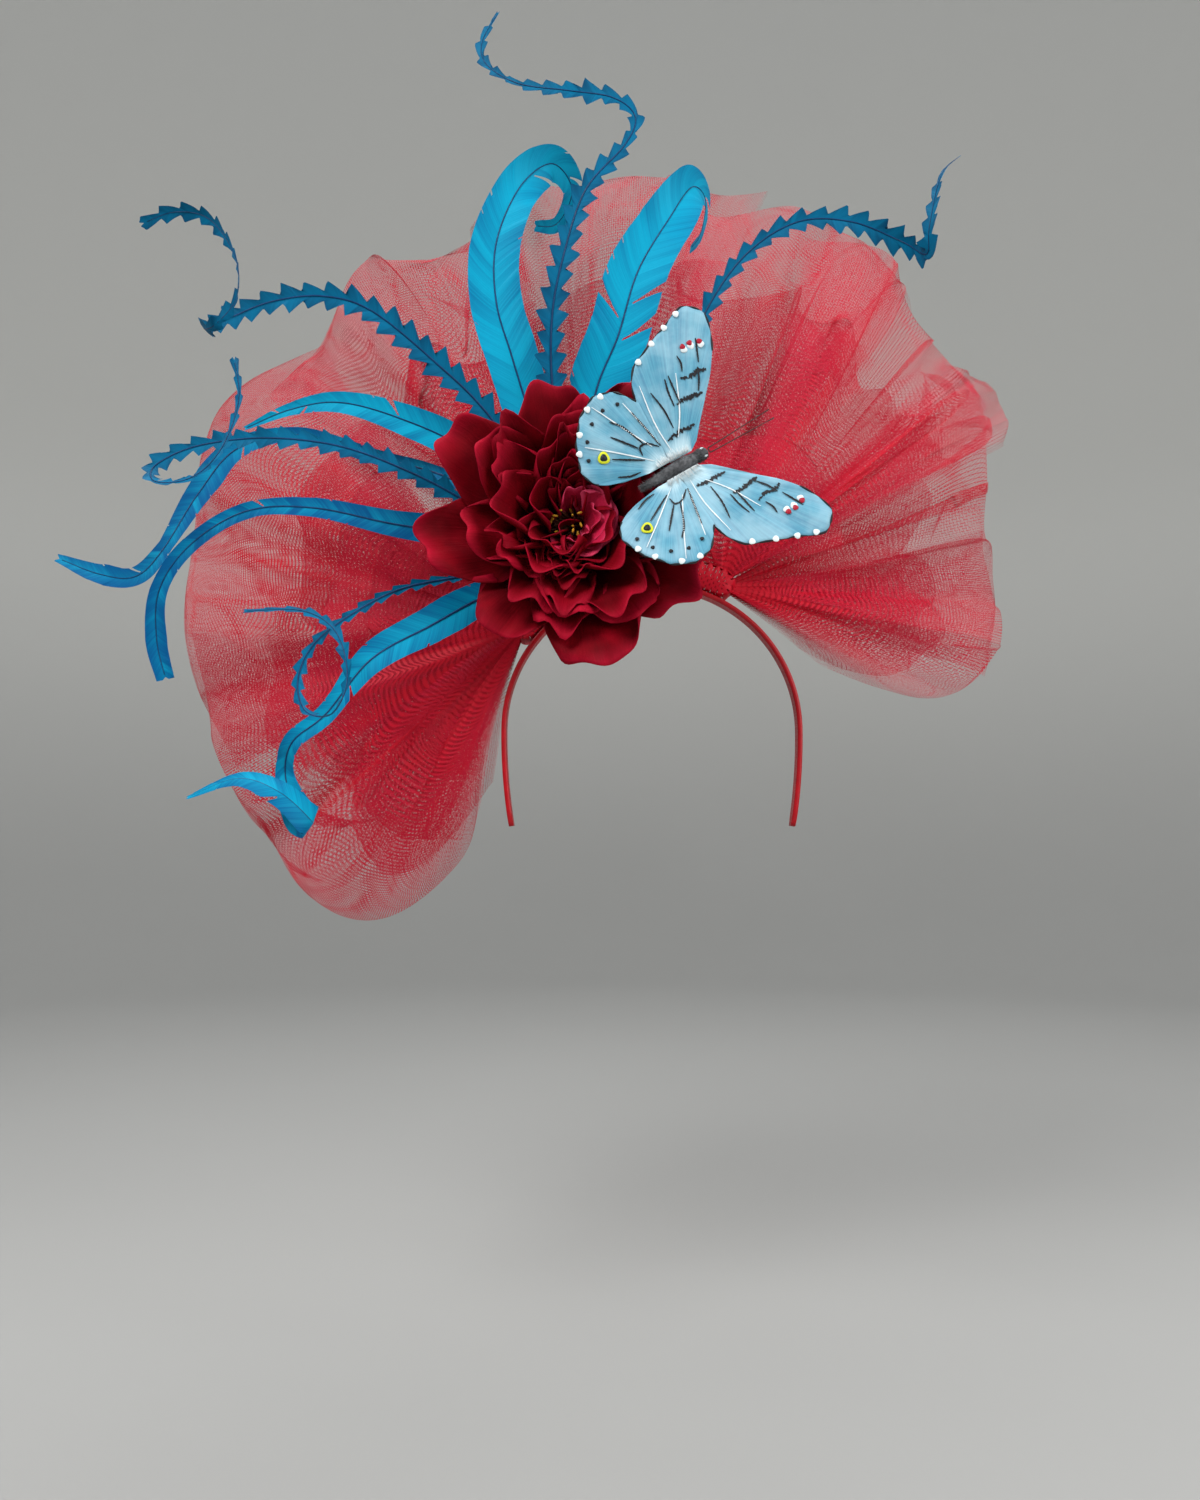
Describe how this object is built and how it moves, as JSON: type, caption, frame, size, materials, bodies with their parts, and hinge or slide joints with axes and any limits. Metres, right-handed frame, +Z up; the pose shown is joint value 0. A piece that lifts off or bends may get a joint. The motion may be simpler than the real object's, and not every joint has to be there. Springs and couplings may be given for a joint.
{
  "type": "fascinator",
  "caption": "Race-day fascinator: a satin headband with red net puffs, blue feathers, a burgundy peony and a feather butterfly.",
  "frame": {"origin": "on top of the wearer's head, under the middle of the headband's inner face", "axes": "+Z up along the head, -Y the way the wearer faces, +X to the right of someone who faces the wearer"},
  "size_m": [0.5036, 0.22, 0.4709],
  "materials": {
    "band": "red satin ribbon over a flexible core",
    "felt": "dark red felt",
    "net": "sheer red net with small hexagonal cells",
    "petal": "burgundy velvet-like petal cloth",
    "heart_petal": "pinker petal cloth with a soft sheen",
    "stamen": "golden brown tips on dark threads",
    "plume": "turquoise dyed feather",
    "spire": "deep blue dyed feather with cut barbs",
    "wing": "pale blue painted feather wing",
    "body": "black short-pile body",
    "wire": "thin dark wire"
  },
  "bodies": {
    "root": {"antennae": "wire", "base_disc": "felt", "butterfly_body": "body", "butterfly_post": "wire", "flower_stem": "felt", "fore_wing_left": "wing", "fore_wing_right": "wing", "headband": "band", "hind_wing_left": "wing", "hind_wing_right": "wing", "net_roll": "net", "petal_guard_1": "petal", "petal_guard_2": "petal", "petal_guard_3": "petal", "petal_guard_4": "petal", "petal_guard_5": "petal", "petal_guard_6": "petal", "petal_guard_7": "petal", "petal_guard_8": "petal", "petal_heart_1": "heart_petal", "petal_heart_2": "heart_petal", "petal_heart_3": "heart_petal", "petal_inner_1": "petal", "petal_inner_2": "petal", "petal_inner_3": "petal", "petal_inner_4": "petal", "petal_middle_1": "petal", "petal_middle_2": "petal", "petal_middle_3": "petal", "petal_middle_4": "petal", "petal_middle_5": "petal", "petal_outer_1": "petal", "petal_outer_2": "petal", "petal_outer_3": "petal", "petal_outer_4": "petal", "petal_outer_5": "petal", "petal_outer_6": "petal", "petal_outer_7": "petal", "plume_left_fork": "plume", "plume_left_high": "plume", "plume_left_long": "plume", "plume_low": "plume", "plume_top": "plume", "plume_top_right": "plume", "puff_left_high": "net", "puff_left_low": "net", "puff_left_short": "net", "puff_right_high": "net", "puff_right_loop": "net", "puff_right_low": "net", "puff_right_side": "net", "puff_right_top": "net", "puff_top": "net", "puff_top_left": "net", "spire_coil": "spire", "spire_left_high": "spire", "spire_left_middle": "spire", "spire_right": "spire", "spire_top": "spire", "stamens": "stamen"}
  },
  "joints": []
}
